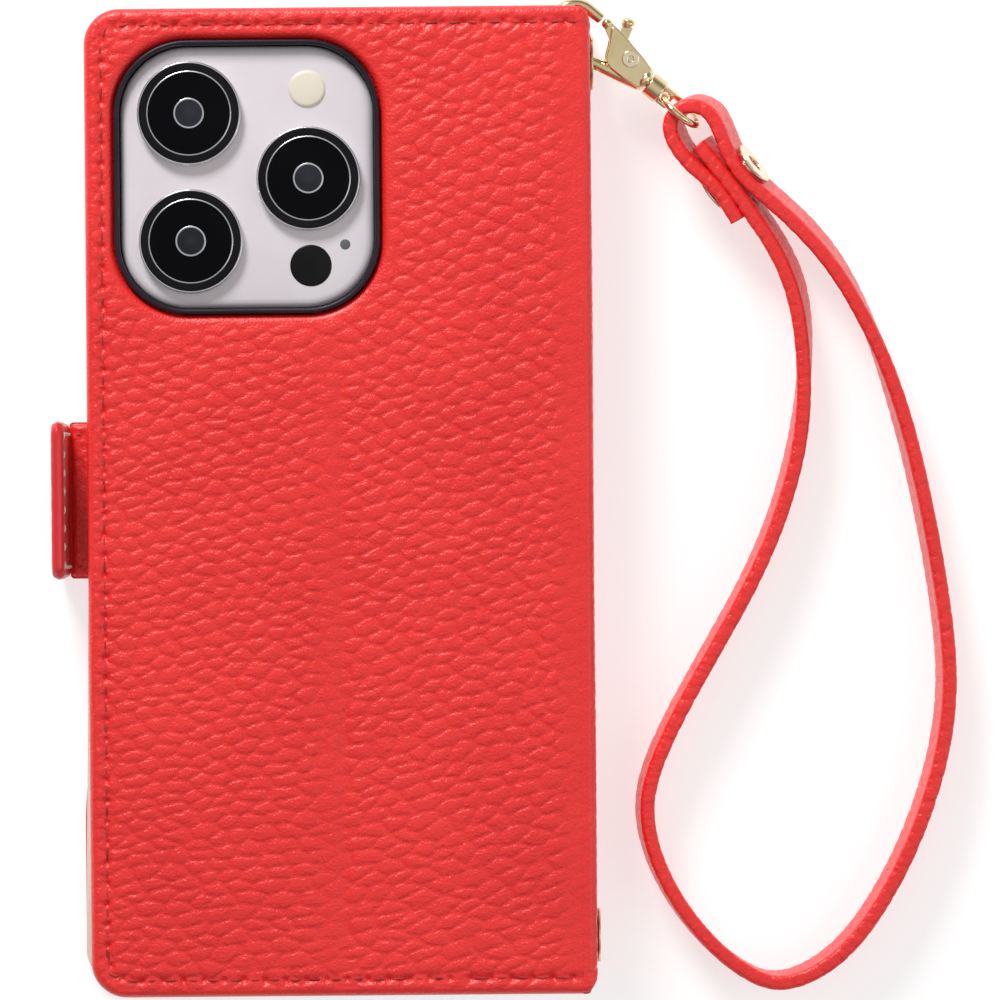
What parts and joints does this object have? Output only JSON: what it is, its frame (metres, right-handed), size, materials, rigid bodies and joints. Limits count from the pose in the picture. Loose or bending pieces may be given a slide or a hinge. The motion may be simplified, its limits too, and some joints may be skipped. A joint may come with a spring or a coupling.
{
  "type": "phone wallet case",
  "caption": "Folio wallet case for a phone: covers on a spine, phone tray with a camera window, card pockets, magnetic side tab, and a wrist strap on a swivelling lobster clasp.",
  "frame": {"origin": "middle of the front cover's outer face, which the closed case lies on", "axes": "+Z out of the back cover, +Y towards the camera end, +X towards the spine"},
  "size_m": [0.1393, 0.1539, 0.0177],
  "materials": {
    "red_leather": "pebbled",
    "cream_lining": "matte",
    "board": "matte",
    "gold": "polished",
    "steel": "plain",
    "tray_plastic": "matte",
    "rim_plastic": "satin",
    "adhesive": "matte"
  },
  "bodies": {
    "front": {"front_leather": "red_leather", "front_board": "board", "front_lining": "cream_lining", "cash_pocket": "cream_lining", "card_pocket_1": "cream_lining", "card_pocket_2": "cream_lining", "card_pocket_3": "cream_lining", "spine_leather": "red_leather", "spine_lining": "cream_lining", "eyelet_upper": "gold", "eyelet_lower": "gold", "eyelet_washer_upper": "gold", "eyelet_washer_lower": "gold", "tab_base": "red_leather"},
    "tab": {"tab_leather": "red_leather", "tab_lining": "red_leather", "tab_magnet": "steel"},
    "back": {"phone_tray": "tray_plastic", "tray_adhesive": "adhesive", "back_lining": "cream_lining", "back_board": "board", "closing_plate": "steel", "back_leather": "red_leather", "camera_rim": "rim_plastic"},
    "clasp": {"clasp_hook": "gold", "gate_pivot": "gold", "gate_spring": "steel", "swivel_post": "gold"},
    "gate": {"gate_lever": "gold"},
    "swivel": {"swivel_eye": "gold"},
    "ring": {"d_ring": "gold", "wrist_strap": "red_leather", "strap_rivet": "gold"}
  },
  "joints": [
    {"name": "cover_fold", "type": "hinge", "parent": "front", "child": "back", "pos_m": [0.0389, 0, 0.0151], "axis": [0, 1, 0], "range_deg": [0, 90]},
    {"name": "tab_fold", "type": "hinge", "parent": "front", "child": "tab", "pos_m": [-0.0435, 0.0005, 0.0015], "axis": [0, -1, 0], "range_deg": [0, 90]},
    {"name": "clasp_tilt", "type": "hinge", "parent": "front", "child": "clasp", "pos_m": [0.0385, 0.0676, 0.0075], "axis": [0, -1, 0], "range_deg": [0, 20]},
    {"name": "gate_hinge", "type": "hinge", "parent": "clasp", "child": "gate", "pos_m": [0.0451, 0.0683, 0.0071], "axis": [0.0992, -0.0794, 0.9919], "range_deg": [0, 10], "stiffness_Nm_per_rad": 0.002},
    {"name": "swivel_spin", "type": "hinge", "parent": "clasp", "child": "swivel", "pos_m": [0.04986, 0.06314, 0.00621], "axis": [-0.7741, 0.6202, 0.1271], "continuous": true},
    {"name": "ring_swing", "type": "hinge", "parent": "swivel", "child": "ring", "pos_m": [0.05056, 0.06258, 0.0061], "axis": [-0.066, -0.2787, 0.9581], "range_deg": [-2, 20]}
  ]
}
